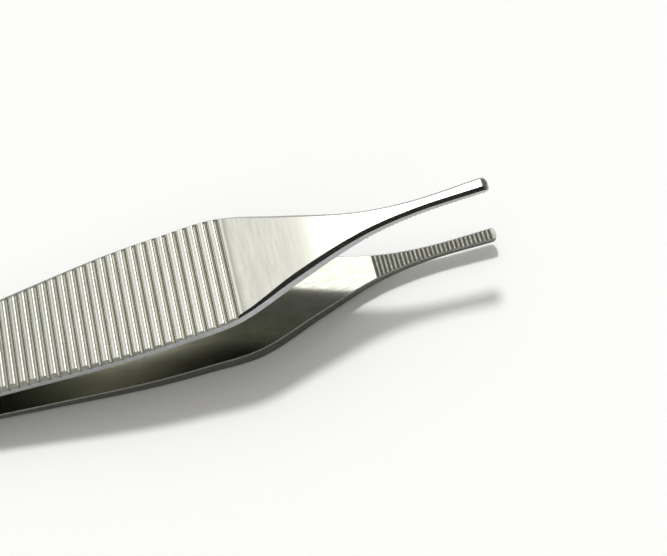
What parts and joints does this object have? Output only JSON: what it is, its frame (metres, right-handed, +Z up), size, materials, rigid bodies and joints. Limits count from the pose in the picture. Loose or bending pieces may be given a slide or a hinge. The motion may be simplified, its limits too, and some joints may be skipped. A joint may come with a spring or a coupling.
{
  "type": "thumb forceps",
  "caption": "Spring tweezers for tissue: two wide ribbed thumb grips that narrow to slender jaws with cross-serrated inner pads, joined at the tail.",
  "frame": {"origin": "middle of the bounding box in plan, on the surface that the forceps lies on", "axes": "+X along the forceps towards the jaw tips, +Y across the width of the arms, +Z up, through the gap between the arms"},
  "size_m": [0.1202, 0.014, 0.0173],
  "materials": {
    "satin_steel": "satin stainless steel with fine scratches, olive-grey in the light"
  },
  "bodies": {
    "lower_arm": {"lower_arm": "satin_steel"},
    "upper_arm": {"upper_arm": "satin_steel"}
  },
  "joints": [
    {"name": "squeeze", "type": "hinge", "parent": "lower_arm", "child": "upper_arm", "pos_m": [-0.05193, 0, 0.00172], "axis": [0, 1, 0], "range_deg": [0, 6.72], "stiffness_Nm_per_rad": 2.5}
  ]
}
